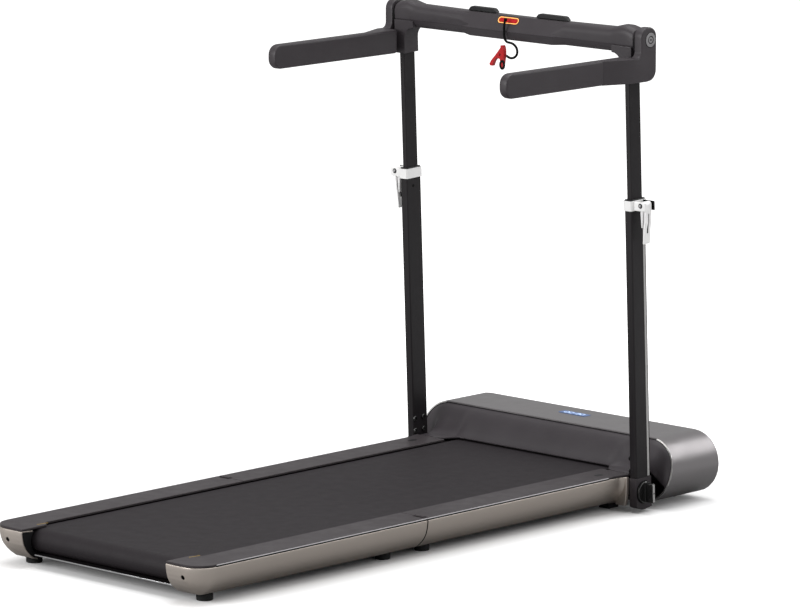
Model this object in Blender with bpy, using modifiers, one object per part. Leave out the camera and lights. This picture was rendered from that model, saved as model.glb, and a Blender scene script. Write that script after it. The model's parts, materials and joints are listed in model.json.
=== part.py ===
"""Folding motorised walking treadmill with a telescopic handle frame.

Units are metres. +Z is up, +Y is the way the user faces, +X is the user's right hand. The origin is on the
floor, under the middle of the machine. The deck folds in half about a line across its top, the handle frame
folds back about a line through its two bases, and each armrest swings up about the end of the crossbar.
"""

import math

import bmesh
import bpy
from mathutils import Matrix, Vector

# Driving dimensions
LENGTH = 1.4535
DECK_TOP = 0.081
RAIL_OUT = 0.297            # half width over the side rails
OPEN_IN = 0.2226            # half width of the opening over the belt
CAP_IN = 0.2035             # half width between the rear ends of the rails
CORNER = 0.046              # plan radius of the rails' rear corners
SEAM_Y = -0.0950            # where the deck folds
SEAM_HALF = 0.0006
FOLD_Z = DECK_TOP + 0.0002  # height of the fold's axis
TRIM_THICK = 0.0045
GAP = 0.0003

BELT_HALF = 0.2175
BELT_THICK = 0.002
BELT_TOP = 0.0758
DRUM = 0.0212               # roller radius
ROLLER_Z = BELT_TOP - BELT_THICK - DRUM - GAP
REAR_ROLLER_Y = -0.672
FRONT_ROLLER_Y = 0.585
SHAFT = 0.0078

HOUSE_TOP = 0.1427
HOUSE_R = 0.0655            # end radius of the motor housing's section
HOUSE_MID = 0.2896          # half width between the centres of the two end radii
HOUSE_REAR = 0.5925         # rear edge of the top
HOUSE_RAKE = 0.27           # how far that edge runs back for each metre that it goes down
HOUSE_FRONT = LENGTH / 2
COVER_INSET = 0.0042        # the rear cover sits this far inside the housing's rear edge
COVER_R = HOUSE_R - COVER_INSET
COVER_FOOT_Y = 0.5425       # front edge of the opening over the belt
RAIL_FRONT = 0.492

PIVOT = Vector((0.0, 0.5221, 0.044))   # fold axis of the handle frame
LEAN = math.radians(2.3)               # the posts lean back by this much
POST_X = 0.3154
TUBE = (0.0095, 0.022)      # half sizes of the lower tube
INNER = (0.00625, 0.0172)   # half sizes of the upper tube
TUBE_TOP = 0.6110           # heights along the post, from the fold axis
CLAMP_LOW = 0.5905
CLAMP_TALL = 0.0205
LEG_LOW = 0.8580
BAR_W = 0.9375
BAR_V = 0.0040
BAR_SPLIT = 0.9310
LEVER_X = 0.3455
LEVER_W = 0.6030

ARM_PIVOT = (0.4954, 0.9860)
ARM_REAR = 0.0910
ARM_FRONT = 0.4560
ARM_X = (0.3126, 0.3340)
ARM_Z = (0.9012, 0.9518)
LUG_X = (0.3385, 0.3590)

MOTOR = (0.668, 0.078)
PULLEY_X = (-0.262, -0.246)
WHEEL = (0.262, 0.681, 0.0300)
WHEEL_R = 0.028

SIDES = (("left", -1), ("right", 1))

for old in list(bpy.data.objects):
    bpy.data.objects.remove(old, do_unlink=True)

parts = bpy.data.collections.new("walking_treadmill")
cutters = bpy.data.collections.new("cutters")
bpy.context.scene.collection.children.link(parts)
bpy.context.scene.collection.children.link(cutters)


def material(name, colour, roughness, metallic=0.0):
    made = bpy.data.materials.new(name)
    made.use_nodes = True
    shader = made.node_tree.nodes["Principled BSDF"]
    shader.inputs["Base Color"].default_value = (*colour, 1.0)
    shader.inputs["Roughness"].default_value = roughness
    shader.inputs["Metallic"].default_value = metallic
    made.diffuse_color = (*colour, 1.0)
    return made


CHAMPAGNE = material("champagne_aluminium", (0.30, 0.27, 0.245), 0.35, 0.9)
SATIN = material("satin_grey", (0.42, 0.42, 0.43), 0.35, 0.8)
CHARCOAL = material("charcoal_plastic", (0.045, 0.045, 0.048), 0.5)
TRIM = material("grey_trim", (0.12, 0.12, 0.125), 0.5)
BLACK = material("black_plastic", (0.012, 0.012, 0.013), 0.45)
BLACK_PAINT = material("black_paint", (0.025, 0.025, 0.026), 0.4, 0.3)
BELT = material("belt_rubber", (0.035, 0.033, 0.035), 0.8)
STEEL = material("bright_steel", (0.62, 0.62, 0.63), 0.3, 1.0)
SILVER = material("silver_clamp", (0.78, 0.78, 0.79), 0.35, 0.4)
RUBBER = material("foot_rubber", (0.02, 0.02, 0.02), 0.85)
BOARD = material("phenolic_board", (0.06, 0.045, 0.035), 0.6)
RED = material("red_plastic", (0.60, 0.02, 0.02), 0.4)
LENS = material("display_lens", (0.03, 0.05, 0.09), 0.15)


def keep(obj, look, collection=parts):
    """Puts a new object in its collection, gives it its material and returns it."""
    for holder in list(obj.users_collection):
        holder.objects.unlink(obj)
    collection.objects.link(obj)
    if look is not None:
        obj.data.materials.clear()
        obj.data.materials.append(look)
    return obj


def mesh_object(name, mesh_maker, look, collection=parts):
    """An object whose mesh is made by a function that fills a bmesh."""
    data = bpy.data.meshes.new(name)
    work = bmesh.new()
    mesh_maker(work)
    bmesh.ops.recalc_face_normals(work, faces=work.faces)
    work.to_mesh(data)
    work.free()
    return keep(bpy.data.objects.new(name, data), look, collection)


def bevel(obj, width, segments=2, angle=0.6):
    if width > 0:
        edge = obj.modifiers.new("Bevel", "BEVEL")
        edge.width = width
        edge.segments = segments
        edge.limit_method = "ANGLE"
        edge.angle_limit = angle
    return obj


def box(name, low, high, look=None, round_by=0.0, segments=2, collection=parts):
    """A box between two corners, with rounded edges."""
    low = Vector(low)
    high = Vector(high)

    def fill(work):
        size = Matrix.Diagonal((*(high - low), 1.0))
        bmesh.ops.create_cube(work, size=1.0, matrix=Matrix.Translation((low + high) / 2) @ size)

    return bevel(mesh_object(name, fill, look, collection), round_by, segments)


AXES = {
    "X": Matrix.Rotation(math.pi / 2, 4, "Y"),
    "Y": Matrix.Rotation(-math.pi / 2, 4, "X"),
    "Z": Matrix.Identity(4),
}


def cylinder(name, centre, axis, radius, length, look=None, sides=28, round_by=0.0, collection=parts):
    """A cylinder centred on a point."""

    def fill(work):
        bmesh.ops.create_cone(
            work, cap_ends=True, segments=sides, radius1=radius, radius2=radius, depth=length,
            matrix=Matrix.Translation(centre) @ AXES[axis],
        )

    return bevel(mesh_object(name, fill, look, collection), round_by, 2)


def outline(name, loops, axis, low, high, look=None, round_by=0.0, collection=parts):
    """A flat outline, with any holes, extruded along an axis from low to high.

    The points of a loop are (y, z) for axis X, (x, z) for axis Y and (x, y) for axis Z.
    """
    curve = bpy.data.curves.new(name, "CURVE")
    curve.dimensions = "2D"
    curve.fill_mode = "BOTH"
    curve.extrude = (high - low) / 2
    for points in loops:
        spline = curve.splines.new("POLY")
        spline.points.add(len(points) - 1)
        for point, (u, v) in zip(spline.points, points):
            point.co = (u, v, 0.0, 1.0)
        spline.use_cyclic_u = True
    flat = bpy.data.objects.new(name, curve)
    bpy.context.scene.collection.objects.link(flat)
    data = bpy.data.meshes.new_from_object(flat.evaluated_get(bpy.context.evaluated_depsgraph_get()))
    bpy.data.objects.remove(flat)
    bpy.data.curves.remove(curve)
    middle = (low + high) / 2
    place = {
        "X": Matrix(((0, 0, 1, middle), (1, 0, 0, 0), (0, 1, 0, 0), (0, 0, 0, 1))),
        "Y": Matrix(((1, 0, 0, 0), (0, 0, -1, middle), (0, 1, 0, 0), (0, 0, 0, 1))),
        "Z": Matrix.Translation((0, 0, middle)),
    }[axis]
    work = bmesh.new()
    work.from_mesh(data)
    bmesh.ops.remove_doubles(work, verts=work.verts, dist=1e-6)
    bmesh.ops.dissolve_limit(work, angle_limit=0.001, verts=work.verts, edges=work.edges)
    bmesh.ops.transform(work, matrix=place, verts=work.verts)
    bmesh.ops.recalc_face_normals(work, faces=work.faces)
    work.to_mesh(data)
    work.free()
    data.name = name
    return bevel(keep(bpy.data.objects.new(name, data), look, collection), round_by)


def loft(name, rings, look, closed, wall=0.0, to_side=-1.0):
    """A skin through rings of equal length. A closed ring without a wall gets end faces."""

    def fill(work):
        rows = [[work.verts.new(point) for point in ring] for ring in rings]
        count = len(rows[0])
        for first, second in zip(rows, rows[1:]):
            for i in range(count if closed else count - 1):
                j = (i + 1) % count
                work.faces.new((first[i], first[j], second[j], second[i]))
        if closed and wall == 0.0:
            work.faces.new(rows[0])
            work.faces.new(rows[-1])

    obj = mesh_object(name, fill, look)
    if wall:
        skin = obj.modifiers.new("Wall", "SOLIDIFY")
        skin.thickness = wall
        skin.offset = to_side
        skin.use_even_offset = True
    return obj


def settle(obj):
    """Applies the object's modifiers to its mesh."""
    graph = bpy.context.evaluated_depsgraph_get()
    data = bpy.data.meshes.new_from_object(obj.evaluated_get(graph))
    looks = list(obj.data.materials)
    obj.modifiers.clear()
    obj.data = data
    data.materials.clear()
    for look in looks:
        data.materials.append(look)
    return obj


def combine(obj, other, operation):
    """Joins or cuts an object with another, which is used up."""
    settle(obj)
    settle(other)
    change = obj.modifiers.new("Boolean", "BOOLEAN")
    change.operation = operation
    change.solver = "EXACT"
    change.object = other
    settle(obj)
    bpy.data.objects.remove(other, do_unlink=True)
    return obj


def join(obj, *others):
    for other in others:
        combine(obj, other, "UNION")
    return obj


def cut(obj, *others):
    for other in others:
        combine(obj, other, "DIFFERENCE")
    return obj


def side_of(obj, side):
    """Turns a piece made for the right side into the one for the given side."""
    settle(obj)
    if side < 0:
        obj.data.transform(Matrix.Scale(-1.0, 4, (1, 0, 0)))
        obj.data.flip_normals()
    return obj


def lean(obj):
    """Turns a piece made upright over the fold axis by the posts' lean, and sets it on that axis."""
    settle(obj)
    obj.data.transform(Matrix.Translation(PIVOT) @ Matrix.Rotation(LEAN, 4, "X"))
    return obj


def post_point(x, v, w):
    """A point given along the post, in world coordinates."""
    return PIVOT + Matrix.Rotation(LEAN, 3, "X") @ Vector((x, v, w))


def set_origin(obj, point):
    """Puts the object's origin on its joint's axis."""
    settle(obj)
    obj.data.transform(Matrix.Translation(-Vector(point)))
    obj.location = point
    return obj


def smooth(obj, angle=0.7):
    settle(obj)
    obj.data.shade_smooth()
    obj.data.set_sharp_from_angle(angle=angle)
    return obj


def arc(centre, radius, start, end, steps):
    """Points along an arc, with angles in degrees."""
    points = []
    for i in range(steps + 1):
        turn = math.radians(start + (end - start) * i / steps)
        points.append((centre[0] + radius * math.cos(turn), centre[1] + radius * math.sin(turn)))
    return points


def rounded_rectangle(half_u, half_v, radius, centre=(0.0, 0.0), steps=3):
    u, v = centre
    points = []
    for turn, su, sv in ((0, 1, 1), (90, -1, 1), (180, -1, -1), (270, 1, -1)):
        corner = (u + su * (half_u - radius), v + sv * (half_v - radius))
        points += arc(corner, radius, turn, turn + 90, steps)
    return points


def stadium(inset, steps=14):
    """The motor housing's section as (x, z), going round from its lower right."""
    middle = HOUSE_TOP - HOUSE_R
    radius = HOUSE_R - inset
    points = arc((HOUSE_MID, middle), radius, -90, 90, steps)
    return points + arc((-HOUSE_MID, middle), radius, 90, 270, steps)


def house_rear(z):
    return HOUSE_REAR - HOUSE_RAKE * (HOUSE_TOP - z)


# Side rails. The section is (distance in from the outer face, height), from the ledge under the trim,
# down the outer face and in to the flange under the deck.
RAIL_SECTION = (
    [(0.030, 0.0745), (0.0035, 0.0762), (0.0006, 0.0757), (0.0, 0.0735), (0.0008, 0.0660), (0.0024, 0.0570)]
    + [(0.0050, 0.0480), (0.0092, 0.0400), (0.0150, 0.0322), (0.0230, 0.0244),
       (0.0315, 0.0180), (0.0420, 0.0150)]
)


def rail_path(half):
    """Plan points of the right rail's outer face, each with its outward direction."""
    if half == "rear":
        centre = (RAIL_OUT - CORNER, -LENGTH / 2 + CORNER)
        path = [((RAIL_OUT, SEAM_Y - SEAM_HALF), (1.0, 0.0))]
        for i in range(11):
            turn = -math.radians(90 * i / 10)
            out = (math.cos(turn), math.sin(turn))
            path.append(((centre[0] + CORNER * out[0], centre[1] + CORNER * out[1]), out))
        path.append(((CAP_IN, -LENGTH / 2), (0.0, -1.0)))
        return path
    path = []
    for i in range(7):
        turn = math.radians(45 * (6 - i) / 6)
        centre = (RAIL_OUT + 0.0245, RAIL_FRONT - 0.0175)
        out = (math.cos(turn), -math.sin(turn))
        path.append(((centre[0] - 0.0245 * out[0], centre[1] - 0.0245 * out[1]), out))
    path.append(((RAIL_OUT, SEAM_Y + SEAM_HALF), (1.0, 0.0)))
    return path


def make_rail(label, side, half):
    rings = []
    for (x, y), (out_x, out_y) in rail_path(half):
        rings.append([(x - d * out_x, y - d * out_y, z) for d, z in RAIL_SECTION])
    rail = settle(loft(f"rail_{half}_{label}", rings, CHAMPAGNE, closed=False, wall=0.0022))
    if half == "rear":
        hole = cylinder("bolt_hole", (0.2475, -0.715, 0.0546), "Y", 0.0048, 0.04, collection=cutters)
        cut(rail, hole)
    return smooth(side_of(rail, side), 0.6)


def make_trim(label, side, half):
    edge = RAIL_OUT - 0.0013
    if half == "rear":
        radius = CORNER - 0.0013
        centre = (RAIL_OUT - CORNER, -LENGTH / 2 + CORNER)
        points = [(OPEN_IN, SEAM_Y - SEAM_HALF), (OPEN_IN, -0.640)]
        points += [(OPEN_IN - 0.0030, -0.6480), (CAP_IN + 0.0035, -0.6560), (CAP_IN, -0.6640)]
        points += [(CAP_IN, -LENGTH / 2 + 0.0013)]
        points += arc(centre, radius, -90, 0, 8)
        points += [(edge, SEAM_Y - SEAM_HALF)]
        notch_y = (SEAM_Y - 0.0075, SEAM_Y + 0.001)
    else:
        points = [(OPEN_IN, SEAM_Y + SEAM_HALF), (edge, SEAM_Y + SEAM_HALF), (edge, 0.4700)]
        points += [(edge + 0.0025, 0.4830), (edge + 0.0065, 0.4960)]
        points += [(edge + 0.0065, 0.5050), (OPEN_IN, 0.5050)]
        notch_y = (SEAM_Y - 0.001, SEAM_Y + 0.0075)
    trim = outline(f"trim_{half}_{label}", [points], "Z", DECK_TOP - TRIM_THICK, DECK_TOP, TRIM, 0.0008)
    notch = box("notch", (0.2605, notch_y[0], 0.07), (0.2895, notch_y[1], 0.09), collection=cutters)
    return side_of(cut(trim, notch), side)


for half in ("front", "rear"):
    for label, side in SIDES:
        make_rail(label, side, half)
        make_trim(label, side, half)

for label, side in SIDES:
    pin = cylinder(
        f"fold_hinge_pin_{label}", (side * 0.275, SEAM_Y, FOLD_Z), "X", 0.0022, 0.027, STEEL, 16)
    smooth(set_origin(pin, (side * 0.275, SEAM_Y, FOLD_Z)))

# Deck boards and the two halves of the running belt. The belt is one loop on the machine, so each half is
# open where the deck folds.
BOARD_Z = (0.0556, BELT_TOP - BELT_THICK - 0.0005)
box("deck_board_front", (-0.2165, SEAM_Y + 0.001, BOARD_Z[0]), (0.2165, 0.545, BOARD_Z[1]), BOARD, 0.0015)
box("deck_board_rear", (-0.2165, -0.635, BOARD_Z[0]), (0.2165, SEAM_Y - 0.001, BOARD_Z[1]), BOARD, 0.0015)

BELT_OUT = BELT_TOP - ROLLER_Z
BELT_IN = BELT_OUT - BELT_THICK


def make_belt(name, roller_y, seam_y, turn):
    outside = arc((roller_y, ROLLER_Z), BELT_OUT, turn * 90, turn * -90, 12)
    inside = arc((roller_y, ROLLER_Z), BELT_IN, turn * -90, turn * 90, 12)
    if turn < 0:
        outside = arc((roller_y, ROLLER_Z), BELT_OUT, 90, 270, 12)
        inside = arc((roller_y, ROLLER_Z), BELT_IN, 270, 90, 12)
    points = [(seam_y, ROLLER_Z + BELT_OUT)] + outside + [(seam_y, ROLLER_Z - BELT_OUT)]
    points += [(seam_y, ROLLER_Z - BELT_IN)] + inside + [(seam_y, ROLLER_Z + BELT_IN)]
    return smooth(outline(name, [points], "X", -BELT_HALF, BELT_HALF, BELT))


make_belt("belt_front", FRONT_ROLLER_Y, SEAM_Y + SEAM_HALF, 1)
make_belt("belt_rear", REAR_ROLLER_Y, SEAM_Y - SEAM_HALF, -1)


def make_subframe(half):
    """Side bars beside the belt, cross bars inside its loop and the belly plate under it, in one piece."""
    near = SEAM_Y + (0.001 if half == "front" else -0.001)
    far = 0.550 if half == "front" else -0.638
    low_y, high_y = min(near, far), max(near, far)
    frame = box(f"subframe_{half}", (0.2190, low_y, 0.0143), (0.2520, high_y, 0.0730), BLACK_PAINT)
    join(frame, box("bar", (-0.2520, low_y, 0.0143), (-0.2190, high_y, 0.0730), BLACK_PAINT))
    count = 3
    for i in range(count):
        y = low_y + 0.035 + (high_y - low_y - 0.095) * i / (count - 1)
        join(frame, box("cross", (-0.2300, y, 0.0335), (0.2300, y + 0.025, 0.0552), BLACK_PAINT))
    join(frame, box("belly", (-0.2300, low_y, 0.0258), (0.2300, high_y, 0.0276), BLACK_PAINT))
    if half == "rear":
        join(frame, box("lip", (-0.1965, -0.6980, 0.0258), (0.1965, -0.6300, 0.0276), BLACK_PAINT))
        return frame
    for side in (-1, 1):
        low_x, high_x = sorted((side * 0.2195, side * 0.2400))
        join(frame, box("arm", (low_x, 0.540, 0.0190), (high_x, 0.625, 0.0730), BLACK_PAINT))
        join(frame, cylinder("stub", (side * 0.2725, PIVOT.y, PIVOT.z), "X", 0.0110, 0.0630,
                             BLACK_PAINT, 20))
        bore = cylinder(
            "bore", (side * 0.2300, FRONT_ROLLER_Y, ROLLER_Z), "X", SHAFT + GAP, 0.06, None, 24,
            collection=cutters)
        cut(frame, bore)
    return frame


make_subframe("front")
make_subframe("rear")

# Rear roller, the blocks that carry it and the bolts' bores that set the belt's tension.
rear_roller = cylinder("rear_roller", (0, REAR_ROLLER_Y, ROLLER_Z), "X", DRUM, 0.4330, STEEL, 28, 0.0010)
join(rear_roller, cylinder("shaft", (0, REAR_ROLLER_Y, ROLLER_Z), "X", SHAFT, 0.5000, STEEL, 20))
smooth(set_origin(rear_roller, (0, REAR_ROLLER_Y, ROLLER_Z)))

for label, side in SIDES:
    back = [(-LENGTH / 2 + d + 0.0034, z + 0.0010 + 0.06 * d) for d, z in RAIL_SECTION[4:]]
    profile = [(-0.640, 0.0720), (-LENGTH / 2 + 0.0038, 0.0720)] + back + [(-0.640, 0.0185)]
    block = outline(f"roller_end_block_{label}", [profile], "X", 0.2062, 0.2515, BLACK)
    around = cylinder(
        "around", (0.2065, REAR_ROLLER_Y, ROLLER_Z), "X", BELT_OUT + 0.0035, 0.0300, None, 28,
            collection=cutters)
    ahead = box(
        "ahead", (0.190, REAR_ROLLER_Y, ROLLER_Z - BELT_OUT - 0.0030), (0.2215, -0.600, 0.100),
            collection=cutters)
    bore = cylinder(
        "bore", (0.2300, REAR_ROLLER_Y, ROLLER_Z), "X", SHAFT + GAP, 0.06, None, 24,
            collection=cutters)
    screw = cylinder("screw", (0.2475 - 0.0015, -0.715, 0.0546), "Y", 0.0040, 0.05, collection=cutters)
    cut(block, around, ahead, bore, screw)
    side_of(block, side)

# Feet. The rear pair and the two pairs at the fold are round, and the front pair are long pads.
FOOT_TOP = 0.0140
for name, x, y, radius in (
    ("foot_rear", 0.2409, -0.6590, 0.0165),
    ("foot_middle_rear", 0.2380, -0.1620, 0.0150),
    ("foot_middle_front", 0.2380, -0.0500, 0.0150),
):
    for label, side in SIDES:
        smooth(cylinder(
            f"{name}_{label}", (side * x, y, FOOT_TOP / 2), "Z", radius, FOOT_TOP, RUBBER, 24, 0.0015))
for label, side in SIDES:
    low_x, high_x = sorted((side * 0.2220, side * 0.2500))
    box(f"foot_front_{label}", (low_x, 0.4975, 0.0), (high_x, 0.5290, FOOT_TOP), RUBBER, 0.0020)

# Motor housing
rear_ring = [(x, house_rear(z), z) for x, z in stadium(0.0)]
rings = [rear_ring]
rings.append([(x, HOUSE_FRONT - 0.006, z) for x, z in stadium(0.0)])
rings.append([(x, HOUSE_FRONT - 0.0018, z) for x, z in stadium(0.0018)])
rings.append([(x, HOUSE_FRONT, z) for x, z in stadium(0.0060)])
shell = settle(loft("housing_shell", rings, SATIN, closed=True, wall=0.003))
for side in (-1, 1):
    low_x, high_x = sorted((side * (WHEEL[0] - 0.014), side * (WHEEL[0] + 0.014)))
    cut(shell, box("slot", (low_x, 0.650, 0.0), (high_x, 0.7125, 0.03), collection=cutters))
smooth(shell, 0.5)

housing_base = box("housing_base", (-0.2860, 0.5700, 0.0155), (0.2860, 0.7160, 0.0185), BLACK)
for side in (-1, 1):
    wall = outline("wall", [stadium(0.0036)], "Y", 0.6000, 0.6030, BLACK)
    low_x, high_x = sorted((side * 0.2760, side * -0.4000))
    cut(wall, box("inner", (low_x, 0.50, 0.0), (high_x, 0.70, 0.2), collection=cutters))
    join(housing_base, wall)
    low_x, high_x = sorted((side * (WHEEL[0] - 0.014), side * (WHEEL[0] + 0.014)))
    cut(housing_base, box("slot", (low_x, 0.650, 0.0), (high_x, 0.7125, 0.03), collection=cutters))

join(housing_base, outline("front", [stadium(0.0036)], "Y", 0.7140, 0.7175, BLACK))
for i in range(9):
    x = -0.150 + 0.014 * i
    cut(housing_base, box("vent", (x, 0.70, 0.050), (x + 0.006, 0.73, 0.104), collection=cutters))
INLET_X = 0.120
SWITCH_X = 0.170
INLET_Z = 0.070
cut(housing_base, box("seat", (INLET_X - 0.0143, 0.70, INLET_Z - 0.0103),
                      (INLET_X + 0.0143, 0.73, INLET_Z + 0.0103), collection=cutters))
cut(housing_base, box("seat", (SWITCH_X - 0.0078, 0.70, INLET_Z - 0.0108),
                      (SWITCH_X + 0.0078, 0.73, INLET_Z + 0.0108), collection=cutters))

inlet = box("power_inlet", (INLET_X - 0.0140, 0.7050, INLET_Z - 0.0100),
            (INLET_X + 0.0140, 0.7220, INLET_Z + 0.0100), BLACK)
cut(inlet, box("cavity", (INLET_X - 0.0115, 0.7100, INLET_Z - 0.0075),
               (INLET_X + 0.0115, 0.7300, INLET_Z + 0.0075), collection=cutters))
for x in (-0.006, 0.0, 0.006):
    join(inlet, box("pin", (INLET_X + x - 0.001, 0.7080, INLET_Z - 0.003),
                    (INLET_X + x + 0.001, 0.7190, INLET_Z + 0.003), BLACK))

rocker = outline(
    "power_switch",
    [[(0.7120, INLET_Z - 0.0100), (0.7235, INLET_Z - 0.0100), (0.7205, INLET_Z), (0.7218, INLET_Z + 0.0100),
      (0.7120, INLET_Z + 0.0100)]],
    "X", SWITCH_X - 0.0068, SWITCH_X + 0.0068, BLACK, 0.0005)
set_origin(rocker, (SWITCH_X, 0.7140, INLET_Z))


def bezier(points, t):
    """A point on a Bezier curve of any degree."""
    points = [Vector(point) for point in points]
    while len(points) > 1:
        points = [a.lerp(b, t) for a, b in zip(points, points[1:])]
    return points[0]


def cover_rib(edge, upper, lower, foot, ledge):
    """A rib of the rear cover: a curve down to its foot, then a level ledge of this depth."""
    rib = [bezier((edge, upper, lower, foot), t / 8) for t in range(9)]
    return rib + [foot - Vector((0.0, ledge * t / 2, 0.0)) for t in (1, 2)]


def cover_rows():
    """Ribs of the rear cover, each running from the housing's rear edge down to the deck."""
    middle = HOUSE_TOP - HOUSE_R
    ribs = []
    for i in range(11):
        share = i / 10
        turn = math.radians(-28 + 118 * share)
        x = HOUSE_MID + COVER_R * math.cos(turn)
        z = middle + COVER_R * math.sin(turn)
        foot = Vector((0.3046 - 0.0100 * share, 0.5640 - 0.0280 * share ** 1.3, 0.0760 + 0.0050 * share))
        edge = Vector((x, house_rear(z) + 0.0010, z))
        upper = edge + Vector((-0.004 * math.cos(turn), -0.003 - 0.011 * share, 0.0))
        lower = foot + Vector((0.0010, 0.004 + 0.012 * share, 0.004 * share))
        ribs.append(cover_rib(edge, upper, lower, foot, 0.002 + 0.0258 * share ** 1.5))
    for x, foot_y, flat in (
        (0.268, 0.5360, 1.0), (0.245, 0.5370, 1.0), (0.232, 0.5385, 0.8), (0.2245, 0.5400, 0.5),
        (0.214, 0.5410, 0.1), (0.200, COVER_FOOT_Y, 0.0), (0.100, COVER_FOOT_Y, 0.0),
        (0.0, COVER_FOOT_Y, 0.0),
    ):
        edge = Vector((x, HOUSE_REAR + 0.0010, HOUSE_TOP - COVER_INSET))
        foot = Vector((x, foot_y, 0.0825 - 0.0015 * flat))
        upper = edge + Vector((0.0, -0.022, 0.0))
        lower = foot + Vector((0.0, 0.006 + 0.020 * flat, 0.016 * (1 - flat)))
        ribs.append(cover_rib(edge, upper, lower, foot, 0.002 + 0.0258 * max(0.0, flat - 0.1) / 0.9))
    mirrored = [[Vector((-p.x, p.y, p.z)) for p in rib] for rib in reversed(ribs[:-1])]
    return ribs + mirrored


cover = loft("housing_rear_cover", cover_rows(), CHARCOAL, closed=False, wall=0.0025, to_side=1.0)
smooth(cover, 0.6)

lens = box("display_lens", (-0.0370, 0.6595, HOUSE_TOP + GAP), (0.0370, 0.6795, HOUSE_TOP + 0.0012), LENS,
           0.0004)

# Drive: motor, pulleys and ribbed belt
motor = cylinder("motor", (-0.1300, *MOTOR), "X", 0.0370, 0.1500, BLACK_PAINT, 32, 0.0030)
join(motor, box("foot", (-0.190, MOTOR[0] - 0.025, 0.0190), (-0.070, MOTOR[0] + 0.025, 0.0500),
                BLACK_PAINT))
smooth(motor)

PULLEY_MID = (PULLEY_X[0] + PULLEY_X[1]) / 2
PULLEY_WIDE = PULLEY_X[1] - PULLEY_X[0]
DRIVEN_R = 0.0290
DRIVER_R = 0.0110
motor_pulley = cylinder("motor_pulley", (PULLEY_MID, *MOTOR), "X", DRIVER_R, PULLEY_WIDE, STEEL, 24)
join(motor_pulley, cylinder("shaft", (-0.2325, *MOTOR), "X", 0.0040, 0.0540, STEEL, 16))
smooth(set_origin(motor_pulley, (PULLEY_MID, *MOTOR)))

front_roller = cylinder("front_roller", (0, FRONT_ROLLER_Y, ROLLER_Z), "X", DRUM, 0.4330, STEEL, 28, 0.0010)
join(front_roller, cylinder("shaft", (0, FRONT_ROLLER_Y, ROLLER_Z), "X", SHAFT, 0.5360, STEEL, 20))
join(front_roller, cylinder(
    "pulley", (PULLEY_MID, FRONT_ROLLER_Y, ROLLER_Z), "X", DRIVEN_R, PULLEY_WIDE, STEEL, 32))
smooth(set_origin(front_roller, (0, FRONT_ROLLER_Y, ROLLER_Z)))


def belt_loop(extra):
    """The outline round both pulleys, this far outside them."""
    across = MOTOR[0] - FRONT_ROLLER_Y
    up = MOTOR[1] - ROLLER_Z
    line = math.degrees(math.atan2(up, across))
    spread = math.degrees(math.acos((DRIVEN_R - DRIVER_R) / math.hypot(across, up)))
    big = arc((FRONT_ROLLER_Y, ROLLER_Z), DRIVEN_R + extra, line + spread, line + 360 - spread, 18)
    small = arc(MOTOR, DRIVER_R + extra, line - spread, line + spread, 10)
    return big + small


smooth(outline("drive_belt", [belt_loop(0.0024), belt_loop(0.0004)], "X", -0.2600, -0.2480, BELT))

for label, side in SIDES:
    x, y, z = WHEEL
    wheel = cylinder(f"transport_wheel_{label}", (side * x, y, z), "X", WHEEL_R, 0.0220, RUBBER, 28, 0.0020)
    hub = cylinder("hub", (side * x, y, z), "X", 0.0040, 0.0260, RUBBER, 16)
    smooth(set_origin(join(wheel, hub), (side * x, y, z)))

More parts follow.
